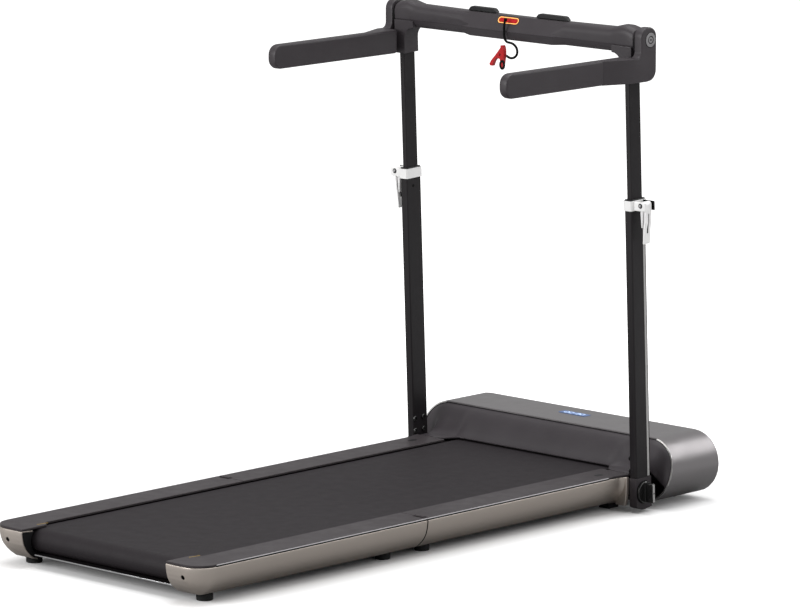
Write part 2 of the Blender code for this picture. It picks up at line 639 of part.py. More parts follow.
# Handle frame. Everything on the posts is made upright over the fold axis and then leaned back.
for label, side in SIDES:
    base_points = [(v, w) for v, w in arc((0.0, 0.0), 0.0370, 215, 285, 8) if v > -0.0230]
    base_points = [(-0.0230, -0.0285)] + base_points + [(0.0225, -0.0343), (0.0230, -0.0335)]
    base_points += [(0.0230, 0.0302), (-0.0230, 0.0302)]
    base = outline(f"upright_base_{label}", [base_points], "X", 0.3053, 0.3256, CHARCOAL, 0.0015)
    cut(base, cylinder("bore", (0.3030, 0, 0), "X", 0.0113, 0.0200, None, 20, collection=cutters))
    lean(side_of(base, side))

    outer = rounded_rectangle(TUBE[0], TUBE[1], 0.0035, (POST_X, 0.0))
    hollow = rounded_rectangle(TUBE[0] - 0.0015, TUBE[1] - 0.0015, 0.0020, (POST_X, 0.0))
    post = outline(f"upright_tube_{label}", [outer, hollow], "Z", 0.0305, TUBE_TOP, BLACK_PAINT)
    smooth(lean(side_of(post, side)), 0.5)

    outer = rounded_rectangle(INNER[0], INNER[1], 0.0025, (POST_X, 0.0))
    hollow = rounded_rectangle(INNER[0] - 0.0012, INNER[1] - 0.0012, 0.0013, (POST_X, 0.0))
    inner_tube = outline(f"inner_tube_{label}", [outer, hollow], "Z", 0.3200, 0.9060, BLACK_PAINT)
    smooth(lean(side_of(inner_tube, side)), 0.5)

    ring = rounded_rectangle(TUBE[0] + 0.0028, TUBE[1] + 0.0028, 0.0055, (POST_X, 0.0))
    inside = rounded_rectangle(TUBE[0] + GAP, TUBE[1] + GAP, 0.0038, (POST_X, 0.0))
    band = outline(f"clamp_band_{label}", [ring, inside], "Z", CLAMP_LOW, CLAMP_LOW + CLAMP_TALL, SILVER)
    for v in (-0.0170, 0.0125):
        join(band, box("cheek", (0.3265, v, CLAMP_LOW + 0.0008),
                       (0.3580, v + 0.0045, CLAMP_LOW + CLAMP_TALL - 0.0005), SILVER, 0.0020))
    lean(side_of(band, side))

    low = LEVER_W - 0.0810
    lever_points = arc((LEVER_X, LEVER_W), 0.0075, 180, 0, 10)
    lever_points += [(0.3524, LEVER_W - 0.0350), (0.3492, LEVER_W - 0.0500)]
    lever_points += [(0.3470, low + 0.0020), (0.3460, low), (0.3442, low), (0.3434, low + 0.0020)]
    lever_points += [(0.3455, LEVER_W - 0.0500), (0.3480, LEVER_W - 0.0350)]
    lever_points += [(0.3482, LEVER_W - 0.0140), (0.3456, LEVER_W - 0.0140), (0.3430, LEVER_W - 0.0470)]
    lever_points += [(0.3404, LEVER_W - 0.0470), (0.3386, LEVER_W - 0.0140)]
    lever = outline(f"clamp_lever_{label}", [lever_points], "Y", -0.0095, 0.0095, SILVER, 0.0006)
    cut(lever, box("slot", (0.3444, -0.0020, LEVER_W - 0.0585), (0.3700, 0.0020, LEVER_W - 0.0175),
                   collection=cutters))
    lean(side_of(lever, side))
    set_origin(lever, post_point(side * LEVER_X, 0.0, LEVER_W))

    knob = cylinder(f"wing_knob_{label}", (0.3287, 0, 0), "X", 0.0228, 0.0056, BLACK, 32, 0.0010)
    join(knob, box("wing", (0.3290, -0.0036, -0.0205), (0.3522, 0.0036, 0.0205), BLACK, 0.0020))
    lean(side_of(knob, side))
    set_origin(knob, post_point(side * 0.3287, 0.0, 0.0))


# The flat face that holds the safety key, as (v, w) from the bar's axis
FACE_TOP = Vector((-0.0100, 0.0240))
FACE_LOW = Vector((-0.0290, -0.0065))
FACE_END = Vector((-0.0230, -0.0240))


def bar_section(x, half_depth, half_height, lift, faceted):
    """A section of the crossbar as points. The faceted share turns its rear into flat faces."""
    points = []
    for i in range(20):
        turn = 2 * math.pi * (i + 0.5) / 20
        c, s = math.cos(turn), math.sin(turn)
        v = half_depth * math.copysign(abs(c) ** 0.7, c)
        w = half_height * math.copysign(abs(s) ** 0.7, s)
        if s > 0:
            w += lift
        if c < 0 and s < 0:
            v += 0.004 * abs(s) * abs(c)
        place = Vector((v, w))
        if 5 <= i <= 10:
            place = place.lerp(FACE_TOP.lerp(FACE_LOW, (i - 5) / 5), faceted)
        elif 11 <= i <= 13:
            place = place.lerp(FACE_LOW.lerp(FACE_END, (i - 10) / 3), faceted)
        points.append((x, BAR_V + place.x, BAR_W + place.y))
    return points


BAR_STATIONS = (
    (0.3350, 0.0190, 0.0215, 0.0, 0.0), (0.3325, 0.0212, 0.0240, 0.0014, 0.0),
    (0.3250, 0.0224, 0.0252, 0.0042, 0.0), (0.3120, 0.0225, 0.0252, 0.0074, 0.0),
    (0.2980, 0.0222, 0.0250, 0.0078, 0.0), (0.2840, 0.0218, 0.0246, 0.0048, 0.0),
    (0.2700, 0.0218, 0.0246, 0.0014, 0.0), (0.1450, 0.0218, 0.0246, 0.0, 0.0),
    (0.1150, 0.0218, 0.0246, 0.0, 1.0), (0.0, 0.0218, 0.0246, 0.0, 1.0),
)
bar_rings = [bar_section(*station) for station in BAR_STATIONS]
bar_rings += [[(-x, v, w) for x, v, w in ring] for ring in reversed(bar_rings[:-1])]


def make_bar(name):
    return loft(name, bar_rings, CHARCOAL, closed=True)


upper = make_bar("crossbar_upper_shell")
cut(upper, box("lower", (-0.4, -0.1, 0.80), (0.4, 0.1, BAR_SPLIT + GAP), collection=cutters))
lower = make_bar("crossbar_lower_shell")
cut(lower, box("upper", (-0.4, -0.1, BAR_SPLIT), (0.4, 0.1, 1.10), collection=cutters))
bar_bottom = BAR_W - 0.0235
for side in (-1, 1):
    leg_points = [(0.3305, LEG_LOW), (0.3310, BAR_SPLIT - 0.002), (0.2780, BAR_SPLIT - 0.002)]
    leg_points += [(0.2780, bar_bottom)]
    leg_points += arc((0.2790, bar_bottom - 0.024), 0.024, 90, 0, 6) + [(0.3030, LEG_LOW)]
    leg = outline("leg", [leg_points], "Y", -0.0205, 0.0215, CHARCOAL, 0.0040)
    join(lower, side_of(leg, side))
for side in (-1, 1):
    low_x, high_x = sorted((side * (POST_X - INNER[0] - GAP), side * (POST_X + INNER[0] + GAP)))
    cut(lower, box("socket", (low_x, -INNER[1] - GAP, 0.80), (high_x, INNER[1] + GAP, 0.9065),
                   collection=cutters))

key_place = FACE_TOP.lerp(FACE_LOW, 0.30)
KEY_X = -0.0120
KEY_V = BAR_V + key_place.x
KEY_W = BAR_W + key_place.y
KEY_TILT = math.atan2(FACE_TOP.x - FACE_LOW.x, FACE_TOP.y - FACE_LOW.y)
key_turn = Matrix.Translation((KEY_X, KEY_V, KEY_W)) @ Matrix.Rotation(-KEY_TILT, 4, "X")


def stadium_bar(name, half_x, half_z, front, back, look, collection=parts):
    """A bar with round ends, in the plane of the safety key's face. Its front is towards the user."""
    points = arc((half_x - half_z, 0.0), half_z, -90, 90, 6)
    points += arc((half_z - half_x, 0.0), half_z, 90, 270, 6)
    made = outline(name, [points], "Y", front, back, look, 0.0, collection)
    made.data.transform(key_turn)
    return made


cut(upper, stadium_bar("key_seat", 0.0262, 0.0052, -0.020, 0.0080, None, cutters))
smooth(lean(upper), 0.55)
smooth(lean(lower), 0.55)
for label, low_x, high_x in (("left", -0.1350, -0.0560), ("right", 0.0550, 0.1430)):
    top = BAR_W + 0.0340
    foot = BAR_W + 0.0249
    points = [(low_x, foot), (high_x, foot), (high_x - 0.001, foot + 0.003), (high_x - 0.006, top - 0.0012)]
    points += [(high_x - 0.010, top), (low_x + 0.010, top), (low_x + 0.006, top - 0.0012)]
    points += [(low_x + 0.001, foot + 0.003)]
    lean(outline(f"device_rest_{label}", [points], "Y", BAR_V - 0.0050, BAR_V + 0.0060, BLACK, 0.0012))

key = stadium_bar("safety_key", 0.0252, 0.0042, -0.0012, 0.0074, RED)
lean(key)
set_origin(key, post_point(KEY_X, KEY_V, KEY_W))

for label, side in SIDES:
    low, high = ARM_Z
    nose = arc((ARM_REAR + 0.021, high - 0.021), 0.021, 90, 180, 6)
    nose += arc((ARM_REAR + 0.021, low + 0.021), 0.021, 180, 270, 6)
    arm_points = nose + [(ARM_FRONT, low), (ARM_FRONT, high)]
    bar = outline(f"handle_{label}", [arm_points], "X", *ARM_X, CHARCOAL, 0.0050)
    jog_points = [(ARM_X[1] - 0.006, 0.3760), (ARM_X[1] - 0.0005, 0.3760)]
    jog_points += [(LUG_X[1], 0.4380), (LUG_X[1], 0.4900)]
    jog_points += [(LUG_X[0], 0.4900), (LUG_X[0], 0.4620), (ARM_X[1] - 0.006, 0.4520)]
    jog = outline("jog", [jog_points], "Z", low, high, CHARCOAL, 0.0045)
    lug_points = arc((0.4930, 0.9920), 0.0195, 0, 90, 6) + arc((0.4850, 0.9920), 0.0195, 90, 180, 6)
    lug_points += arc((0.4535, high + 0.0120), 0.0120, 0, -90, 5) + [(0.4535, low + 0.0040), (0.4560, low)]
    lug_points += arc((0.4895, low + 0.0230), 0.0230, -90, 0, 7)
    lug = outline("lug", [lug_points], "X", LUG_X[0], LUG_X[1], CHARCOAL, 0.0045)
    join(bar, jog, lug)
    side_of(bar, side)
    smooth(set_origin(bar, (side * (LUG_X[0] + LUG_X[1]) / 2, *ARM_PIVOT)), 0.5)

# Safety cord and its clip. The cord hangs from the key, makes one loop and ends in the clip.
CORD = 0.0050
CORD_ROUTE = (
    (-0.0105, 0.4634, 1.0002), (-0.0104, 0.4606, 0.9970), (-0.0102, 0.4583, 0.9925),
    (-0.0100, 0.4569, 0.9870), (-0.0095, 0.4560, 0.9775), (-0.0086, 0.4553, 0.9675),
    (-0.0062, 0.4549, 0.9590), (-0.0002, 0.4547, 0.9535),
    (0.0080, 0.4544, 0.9525), (0.0175, 0.4542, 0.9508), (0.0262, 0.4537, 0.9452), (0.0307, 0.4527, 0.9370),
    (0.0298, 0.4514, 0.9290), (0.0240, 0.4500, 0.9235), (0.0160, 0.4490, 0.9218), (0.0090, 0.4485, 0.9236),
    (0.0050, 0.4480, 0.9262),
)


def smooth_route(points, spacing):
    """Evenly spaced points on a Catmull-Rom curve through the route."""
    route = [Vector(point) for point in points]
    ends = [2 * route[0] - route[1]] + route + [2 * route[-1] - route[-2]]
    fine = []
    for i in range(1, len(ends) - 2):
        a, b, c, d = ends[i - 1], ends[i], ends[i + 1], ends[i + 2]
        for k in range(10):
            t = k / 10
            fine.append(0.5 * (2 * b + (c - a) * t + (2 * a - 5 * b + 4 * c - d) * t * t
                               + (3 * b - a - 3 * c + d) * t ** 3))
    fine.append(route[-1])
    total = sum((q - p).length for p, q in zip(fine, fine[1:]))
    count = max(2, round(total / spacing))
    made = [fine[0]]
    walked = 0.0
    for p, q in zip(fine, fine[1:]):
        step = (q - p).length
        while len(made) < count and walked + step >= total * len(made) / count - 1e-9:
            made.append(p.lerp(q, (total * len(made) / count - walked) / step))
        walked += step
    made.append(fine[-1])
    return made


cord = bpy.data.curves.new("lanyard", "CURVE")
cord.dimensions = "3D"
cord.bevel_depth = CORD / 2
cord.bevel_resolution = 2
cord.use_fill_caps = True
cord_points = smooth_route(CORD_ROUTE, CORD * 1.6)
cord_spline = cord.splines.new("POLY")
cord_spline.points.add(len(cord_points) - 1)
for point, place in zip(cord_spline.points, cord_points):
    point.co = (*place, 1.0)
lanyard = keep(bpy.data.objects.new("lanyard", cord), BLACK)

CLIP_Y = 0.4475
clip_outline = [(-0.0080, 0.9425), (-0.0085, 0.9465), (-0.0020, 0.9470), (0.0012, 0.9400), (0.0018, 0.9260)]
clip_outline += [(-0.0005, 0.9140), (-0.0025, 0.9010), (-0.0050, 0.8970), (-0.0085, 0.8985)]
clip_outline += [(-0.0080, 0.9100)]
clip_outline += [(-0.0105, 0.9180), (-0.0190, 0.9200), (-0.0260, 0.9130), (-0.0310, 0.9020)]
clip_outline += [(-0.0375, 0.9025)]
clip_outline += [(-0.0390, 0.9065), (-0.0330, 0.9150), (-0.0240, 0.9240), (-0.0160, 0.9330)]
clip_eye = arc((-0.0095, 0.9270), 0.0024, 0, 345, 23)
outline("lanyard_clip", [clip_outline, clip_eye], "Y", CLIP_Y - 0.0042, CLIP_Y + 0.0042, RED, 0.0008)
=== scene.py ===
"""The look of the folding walking treadmill: materials, small details, studio and camera."""

import json
import math

import bmesh
import bpy
from mathutils import Matrix, Vector

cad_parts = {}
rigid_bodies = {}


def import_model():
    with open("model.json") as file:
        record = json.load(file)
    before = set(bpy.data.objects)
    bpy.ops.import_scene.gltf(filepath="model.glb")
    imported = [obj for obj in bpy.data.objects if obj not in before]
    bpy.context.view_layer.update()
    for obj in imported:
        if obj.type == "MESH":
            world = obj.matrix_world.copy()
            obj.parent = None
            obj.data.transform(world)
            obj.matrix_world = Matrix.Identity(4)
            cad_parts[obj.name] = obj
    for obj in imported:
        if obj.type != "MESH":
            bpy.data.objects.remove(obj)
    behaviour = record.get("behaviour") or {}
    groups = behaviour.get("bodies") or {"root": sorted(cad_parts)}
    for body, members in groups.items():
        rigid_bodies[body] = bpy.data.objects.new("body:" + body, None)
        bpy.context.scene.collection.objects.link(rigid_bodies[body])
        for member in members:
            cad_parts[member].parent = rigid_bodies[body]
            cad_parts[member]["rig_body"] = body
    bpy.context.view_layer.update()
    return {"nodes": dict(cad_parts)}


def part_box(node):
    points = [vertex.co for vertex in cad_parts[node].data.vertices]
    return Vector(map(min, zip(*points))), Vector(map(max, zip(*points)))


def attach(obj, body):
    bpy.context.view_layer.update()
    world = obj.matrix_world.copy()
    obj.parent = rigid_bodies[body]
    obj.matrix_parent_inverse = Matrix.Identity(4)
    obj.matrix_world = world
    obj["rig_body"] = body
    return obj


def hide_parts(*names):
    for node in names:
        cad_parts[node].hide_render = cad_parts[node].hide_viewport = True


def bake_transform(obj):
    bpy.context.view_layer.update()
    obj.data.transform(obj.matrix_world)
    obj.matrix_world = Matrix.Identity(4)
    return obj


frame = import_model()
nodes = frame["nodes"]

SIDES = (("left", -1), ("right", 1))
HERE = Matrix.Identity(4)

# Camera: where it looks from in degrees, how far off, and what it looks at
AZIMUTH = 43.7233
PITCH = 10.0127
DISTANCE = 11.519
AIM = Vector((0.0, 0.0045, 0.40))
AIM_RIGHT = 0.0908
AIM_UP = 0.0597
FOCAL = 256.54

# Studio. SKY and the FLOOR albedos are what the object reflects. The camera sees both white.
# A lamp is (name, azimuth, height in degrees, distance, size, power).
SKY = 0.44
FLOOR_NEAR = 0.25
FLOOR_FAR = 0.70
FLOOR_BEHIND = 0.12
FLOOR_SEEN = 0.93
LAMP_AIM = Vector((0.0, 0.0, 0.3))
LAMPS = (
    ("overhead", 180.0, 84.0, 4.5, 4.5, 170.0),
    ("right", 100.0, 30.0, 4.0, 2.5, 22.0),
    ("rear_high", 157.0, 29.0, 3.5, 2.0, 36.0),
    ("front", -20.0, 20.0, 5.0, 2.4, 160.0),
)


def make_camera():
    data = bpy.data.cameras.new("camera")
    data.sensor_width = 36.0
    data.lens = FOCAL
    data.clip_start = 0.5
    data.clip_end = 60.0
    cam = bpy.data.objects.new("camera", data)
    bpy.context.scene.collection.objects.link(cam)
    cam.rotation_euler = (math.radians(90.0 - PITCH), 0.0, math.radians(AZIMUTH))
    turn = cam.rotation_euler.to_matrix()
    aim = AIM + turn @ Vector((AIM_RIGHT, AIM_UP, 0.0))
    cam.location = aim + turn @ Vector((0.0, 0.0, DISTANCE))
    bpy.context.scene.camera = cam


make_camera()


class Shader:
    """A node material with one Principled shader and short calls for what feeds it."""

    def __init__(self, name, colour, roughness, metallic=0.0):
        self.material = bpy.data.materials.new(name)
        self.material.use_nodes = True
        self.tree = self.material.node_tree
        self.shader = self.tree.nodes["Principled BSDF"]
        self.shader.inputs["Base Color"].default_value = (*colour, 1.0)
        self.shader.inputs["Roughness"].default_value = roughness
        self.shader.inputs["Metallic"].default_value = metallic
        self.where = self.add("ShaderNodeTexCoord").outputs["Object"]

    def add(self, kind, **settings):
        node = self.tree.nodes.new(kind)
        for key, value in settings.items():
            setattr(node, key, value)
        return node

    def link(self, source, target):
        self.tree.links.new(source, target)

    def noise(self, scale, detail=2.0, stretch=None):
        """Noise in object space, stretched along the axes if asked."""
        node = self.add("ShaderNodeTexNoise")
        node.inputs["Scale"].default_value = scale
        node.inputs["Detail"].default_value = detail
        self.link(self.mapped(stretch), node.inputs["Vector"])
        return node.outputs["Fac"]

    def mapped(self, stretch):
        if stretch is None:
            return self.where
        node = self.add("ShaderNodeMapping")
        node.inputs["Scale"].default_value = stretch
        self.link(self.where, node.inputs["Vector"])
        return node.outputs["Vector"]

    def math(self, operation, first, second):
        node = self.add("ShaderNodeMath", operation=operation)
        for socket, value in zip(node.inputs, (first, second)):
            if isinstance(value, (int, float)):
                socket.default_value = value
            else:
                self.link(value, socket)
        return node.outputs[0]

    def spread(self, value, low, high, start=0.3, end=0.7):
        """Maps the middle of a noise to a range."""
        node = self.add("ShaderNodeMapRange")
        self.link(value, node.inputs["Value"])
        limits = (("From Min", start), ("From Max", end), ("To Min", low), ("To Max", high))
        for key, number in limits:
            node.inputs[key].default_value = number
        return node.outputs["Result"]

    def tint(self, share, colour):
        """Mixes the base colour towards another one."""
        node = self.add("ShaderNodeMix", data_type="RGBA")
        socket = self.shader.inputs["Base Color"]
        if socket.links:
            self.link(socket.links[0].from_socket, node.inputs["A"])
        else:
            node.inputs["A"].default_value = socket.default_value
        node.inputs["B"].default_value = (*colour, 1.0)
        self.link(share, node.inputs["Factor"])
        self.link(node.outputs["Result"], socket)

    def rough(self, value):
        self.link(value, self.shader.inputs["Roughness"])

    def bump(self, height, depth):
        """Adds relief, depth metres deep, on top of any that is there."""
        node = self.add("ShaderNodeBump")
        node.inputs["Strength"].default_value = 1.0
        node.inputs["Distance"].default_value = depth
        self.link(height, node.inputs["Height"])
        socket = self.shader.inputs["Normal"]
        if socket.links:
            self.link(socket.links[0].from_socket, node.inputs["Normal"])
        self.link(node.outputs["Normal"], socket)


def moulded(name, colour, roughness, grain=900.0, depth=0.00005, gloss=0.3):
    """Textured moulded plastic: fine grain, slow mottling and slightly polished patches."""
    made = Shader(name, colour, roughness)
    made.shader.inputs["Specular IOR Level"].default_value = gloss
    paler = tuple(min(1.0, c * 1.35 + 0.004) for c in colour)
    made.tint(made.spread(made.noise(14.0, 3.0), 0.0, 0.30), paler)
    made.rough(made.spread(made.noise(30.0, 3.0), roughness - 0.05, roughness + 0.05))
    made.bump(made.noise(grain, 2.0), depth)
    return made.material


def coated(name, colour, roughness, metallic, depth=0.00003, gloss=0.5):
    """Satin metal finish with a bead-blasted grain."""
    made = Shader(name, colour, roughness, metallic)
    made.shader.inputs["Specular IOR Level"].default_value = gloss
    darker = tuple(c * 0.72 for c in colour)
    made.tint(made.spread(made.noise(1500.0, 1.0), 0.0, 0.20), darker)
    made.rough(made.spread(made.noise(22.0, 3.0), roughness - 0.04, roughness + 0.05))
    made.bump(made.noise(1300.0, 1.0), depth)
    return made.material


def turned(name, colour, roughness):
    """Turned steel with fine lines along its length."""
    made = Shader(name, colour, roughness, 1.0)
    lines = made.noise(160.0, 2.0, (9.0, 0.4, 0.4))
    made.rough(made.spread(lines, roughness - 0.07, roughness + 0.10))
    made.bump(lines, 0.00003)
    return made.material


DIAMOND = 0.0034    # size of the belt's diamonds


def woven(name, colour):
    """Dark running belt with a fine diamond grain and slightly worn lengthwise lanes."""
    made = Shader(name, colour, 0.62)
    made.shader.inputs["Specular IOR Level"].default_value = 0.2
    split = made.add("ShaderNodeSeparateXYZ")
    made.link(made.where, split.inputs["Vector"])
    turns_per_metre = 2.0 * math.pi / DIAMOND
    waves = []
    for way in ("ADD", "SUBTRACT"):
        across = made.math(way, split.outputs["X"], split.outputs["Y"])
        waves.append(made.math("SINE", made.math("MULTIPLY", across, turns_per_metre), 0.0))
    diamonds = made.math("MULTIPLY", *waves)
    lanes = made.noise(5.0, 2.0, (3.0, 0.35, 1.0))
    made.tint(made.spread(made.noise(1100.0, 1.0), 0.0, 0.25), (0.0200, 0.0165, 0.0190))
    made.tint(made.spread(lanes, 0.0, 0.12), (0.0190, 0.0157, 0.0181))
    made.rough(made.spread(made.noise(40.0, 2.0), 0.60, 0.66))
    made.bump(diamonds, 0.00006)
    made.bump(made.noise(1500.0, 1.0), 0.00005)
    return made.material


CHAMPAGNE = coated("champagne_shell", (0.60, 0.537, 0.484), 0.36, 0.85)
SATIN = coated("satin_housing", (0.256, 0.244, 0.249), 0.36, 0.8, 0.000015)
CHARCOAL = moulded("charcoal_plastic", (0.0370, 0.0320, 0.0358), 0.42)
TRIM = moulded("grey_trim", (0.040, 0.0345, 0.0372), 0.42, gloss=0.2)
BLACK = moulded("black_plastic", (0.010, 0.010, 0.011), 0.42)
PAINT = coated("black_paint", (0.0128, 0.0110, 0.0124), 0.34, 0.0, 0.00004, 0.25)
BELT = woven("belt_surface", (0.0155, 0.0125, 0.0146))
STEEL = turned("bright_steel", (0.62, 0.62, 0.63), 0.28)
SILVER = coated("silver_clamp", (0.92, 0.915, 0.91), 0.34, 0.1)
# Pale: a strip down each post, and also a painted highlight on each knob's wing.
STRIP = coated("pale_strip_and_painted_highlight", (0.42, 0.415, 0.41), 0.34, 0.1)
RUBBER = moulded("foot_rubber", (0.016, 0.016, 0.016), 0.75, 500.0, 0.0001)
BOARD = moulded("deck_board", (0.05, 0.036, 0.028), 0.55, 300.0)
RED = moulded("red_plastic", (0.40, 0.0050, 0.0080), 0.34, 1200.0, 0.00002)
CAP_GREY = moulded("cap_grey", (0.20, 0.195, 0.20), 0.45)
# Near black: dark joints, holes and the clip's grip, and also painted shade on the posts' rear
# corners and in the clamps.
BLACK_AND_SHADE = moulded("near_black_and_painted_shade", (0.003, 0.003, 0.003), 0.7, gloss=0.1)
# Paler than the housing shell: a painted highlight along the shell's edge.
RIM = coated("rim_painted_highlight", (0.55, 0.54, 0.53), 0.30, 0.9)
SCREW = moulded("black_screw", (0.005, 0.005, 0.005), 0.20, 600.0, 0.00001, gloss=0.9)
CORD_LOOK = moulded("cord_cover", (0.0015, 0.0015, 0.0016), 0.7, 1600.0, 0.00012, gloss=0.1)


def lit(name, colour, glow, strength):
    """A lamp-lit plastic with a slightly uneven glow."""
    made = Shader(name, colour, 0.3)
    made.shader.inputs["Emission Color"].default_value = (*glow, 1.0)
    made.shader.inputs["Emission Strength"].default_value = strength
    made.rough(made.spread(made.noise(60.0, 2.0), 0.25, 0.38))
    made.bump(made.noise(900.0, 1.0), 0.00002)
    return made.material


GLOW = lit("key_light", (0.9, 0.42, 0.12), (1.0, 0.40, 0.10), 0.85)
DIGITS = lit("display_digits", (0.55, 0.7, 1.0), (0.60, 0.76, 1.0), 0.9)
LENS = lit("display_lens", (0.03, 0.05, 0.11), (0.10, 0.19, 0.42), 0.55)
AMBER = moulded("amber_print", (0.50, 0.32, 0.05), 0.4)
# A painted highlight along the trims' outer edge.
HIGHLIGHT_LINE = coated("trim_painted_highlight", (0.76, 0.735, 0.76), 0.34, 0.1)

# The finish of each CAD node, by the start of its name
FINISH = {
    CHAMPAGNE: ("rail_",),
    TRIM: ("trim_", "fold_hinge_pin"),
    STEEL: ("rear_roller", "front_roller", "motor_pulley"),
    BOARD: ("deck_board",),
    BELT: ("drive_belt",),
    PAINT: ("subframe", "motor", "upright_tube", "inner_tube"),
    BLACK: ("roller_end_block", "housing_base", "power_", "device_rest"),
    RUBBER: ("foot_", "transport_wheel"),
    SATIN: ("housing_shell",),
    CHARCOAL: ("housing_rear_cover", "upright_base", "crossbar", "handle_"),
    SILVER: ("clamp_",),
    SCREW: ("wing_knob",),
    RED: ("safety_key", "lanyard_clip"),
    LENS: ("display_lens",),
}


def finish_of(name):
    """The finish whose start of a name fits this node best."""
    fits = {start: look for look, starts in FINISH.items() for start in starts}
    return fits[max((start for start in fits if name.startswith(start)), key=len)]


def place(obj, body):
    """Adds an object to the scene, riding on a body."""
    bpy.context.scene.collection.objects.link(obj)
    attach(obj, body)
    return obj


SMOOTH_ANGLE = 0.5      # edges sharper than this stay sharp, in radians
LOFT_ANGLE = 0.9
FLAT_ANGLE = 0.006      # facets closer than this are one face
WELD = 2e-6


def soften(obj, width, angle=None):
    """Rounds the sharp edges a little."""
    edge = obj.modifiers.new("Bevel", "BEVEL")
    edge.width = width
    edge.segments = 2
    edge.limit_method = "ANGLE"
    if angle is not None:
        edge.angle_limit = angle
    return edge


def refine(name, width, loft):
    """Shows a node as one smooth welded skin with softened edges, in place of its facets."""
    angle = LOFT_ANGLE if loft else SMOOTH_ANGLE
    data = nodes[name].data.copy()
    data.name = "look_" + name
    work = bmesh.new()
    work.from_mesh(data)
    bmesh.ops.remove_doubles(work, verts=work.verts, dist=WELD)
    if not loft:
        bmesh.ops.dissolve_limit(
            work, angle_limit=FLAT_ANGLE, verts=work.verts, edges=work.edges)
    work.to_mesh(data)
    work.free()
    data.materials.clear()
    data.materials.append(finish_of(name))
    data.shade_smooth()
    data.set_sharp_from_angle(angle=angle)
    obj = bpy.data.objects.new("look_" + name, data)
    soften(obj, width, angle).harden_normals = not loft
    if not loft:
        weigh = obj.modifiers.new("Normals", "WEIGHTED_NORMAL")
        weigh.keep_sharp = True
    place(obj, nodes[name]["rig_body"])
    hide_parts(name)


# Edge rounding by the start of a node's name, and the nodes that get a shape of their own below
ROUND = 0.0006
ROUNDER = {
    "housing_shell": 0.0008, "rail_": 0.0005, "trim_": 0.0012, "clamp_": 0.0005, "crossbar": 0.0005,
}
REDRAWN = ("lanyard", "belt_front", "belt_rear")
LOFTS = ("housing_rear_cover",)

for name in sorted(set(nodes) - set(REDRAWN)):
    widths = [value for start, value in ROUNDER.items() if name.startswith(start)]
    refine(name, widths[0] if widths else ROUND, name in LOFTS)


def piece(name, fill, look, body, bevel=0.0, place_at=None):
    """A new visual piece that rides on a CAD body, or on none yet when body is None."""
    data = bpy.data.meshes.new(name)
    work = bmesh.new()
    fill(work)
    bmesh.ops.recalc_face_normals(work, faces=work.faces)
    if place_at is not None:
        bmesh.ops.transform(work, matrix=place_at, verts=work.verts)
    work.to_mesh(data)
    work.free()
    data.materials.append(look)
    data.shade_smooth()
    data.set_sharp_from_angle(angle=0.6)
    obj = bpy.data.objects.new(name, data)
    if bevel:
        soften(obj, bevel)
    if body is not None:
        return place(obj, body)
    bpy.context.scene.collection.objects.link(obj)
    return obj


# Positions and sizes of the CAD part, in metres. LEAN takes a point given along the leaning posts
# (across, ahead of the post's middle, up from the fold axis) to the scene.
PIVOT = Vector((0.0, 0.5221, 0.044))
LEAN = Matrix.Translation(PIVOT) @ Matrix.Rotation(math.radians(2.3), 4, "X")
TUBE_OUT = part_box("upright_tube_right")[1].x
TUBE_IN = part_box("upright_tube_right")[0].x
TUBE_HALF = 0.022
TUBE_CORNER = 0.0035
POST_X = 0.3154
POST_LOW = 0.0320
POST_HIGH = 0.5860
LEVER_X = 0.3455
LEVER_W = 0.6030
BAR_V = 0.0040
BAR_W = 0.9375
SEAM_Y = -0.0950
SEAM_HALF = 0.0006
RAIL_OUT = 0.297
# The rail's section: distance in from the outer face, and height
RAIL_SECTION = (
    (0.0300, 0.0745), (0.0035, 0.0762), (0.0006, 0.0757), (0.0, 0.0735), (0.0008, 0.0660),
    (0.0024, 0.0570), (0.0050, 0.0480), (0.0092, 0.0400), (0.0150, 0.0322), (0.0230, 0.0244),
    (0.0315, 0.0180), (0.0420, 0.0150),
)
TRIM_EDGE = 0.2950
HOUSE_TOP = 0.1427
HOUSE_R = 0.0655
HOUSE_MID = 0.2896
HOUSE_REAR = 0.5925
HOUSE_RAKE = 0.27


def slab(low, high):
    """Fills a bmesh with a box between two corners."""
    low = Vector(low)
    high = Vector(high)

    def fill(work):
        size = Matrix.Diagonal((*(high - low), 1.0))
        bmesh.ops.create_cube(work, size=1.0, matrix=Matrix.Translation((low + high) / 2) @ size)

    return fill


def turned_ring(profile, sides=40):
    """Fills a bmesh with a closed profile of (radius, depth) turned about the X axis."""

    def fill(work):
        rings = []
        for i in range(sides):
            turn = 2 * math.pi * i / sides
            c, s = math.cos(turn), math.sin(turn)
            rings.append([work.verts.new((d, r * c, r * s)) for r, d in profile])
        count = len(profile)
        for i in range(sides):
            first = rings[i]
            second = rings[(i + 1) % sides]
            for j in range(count):
                k = (j + 1) % count
                work.faces.new((first[j], first[k], second[k], second[j]))
        bmesh.ops.remove_doubles(work, verts=work.verts, dist=1e-7)
        bmesh.ops.dissolve_degenerate(work, edges=work.edges, dist=1e-7)

    return fill


def stadium_points(half_u, half_v, steps=8):
    """An outline with straight long sides and round ends."""
    points = []
    for i in range(steps + 1):
        turn = -math.pi / 2 + math.pi * i / steps
        points.append((half_u - half_v + half_v * math.cos(turn), half_v * math.sin(turn)))
    return points + [(-u, -v) for u, v in points]


def ellipse_points(half_u, half_v, steps=24):
    turns = [2 * math.pi * i / steps for i in range(steps)]
    return [(half_u * math.cos(turn), half_v * math.sin(turn)) for turn in turns]


def rounded_points(half_u, half_v, radius, steps=4):
    """A rectangle with round corners."""
    points = []
    for turn, su, sv in ((0, 1, 1), (90, -1, 1), (180, -1, -1), (270, 1, -1)):
        for i in range(steps + 1):
            a = math.radians(turn + 90 * i / steps)
            u = su * (half_u - radius) + radius * math.cos(a)
            points.append((u, sv * (half_v - radius) + radius * math.sin(a)))
    return points


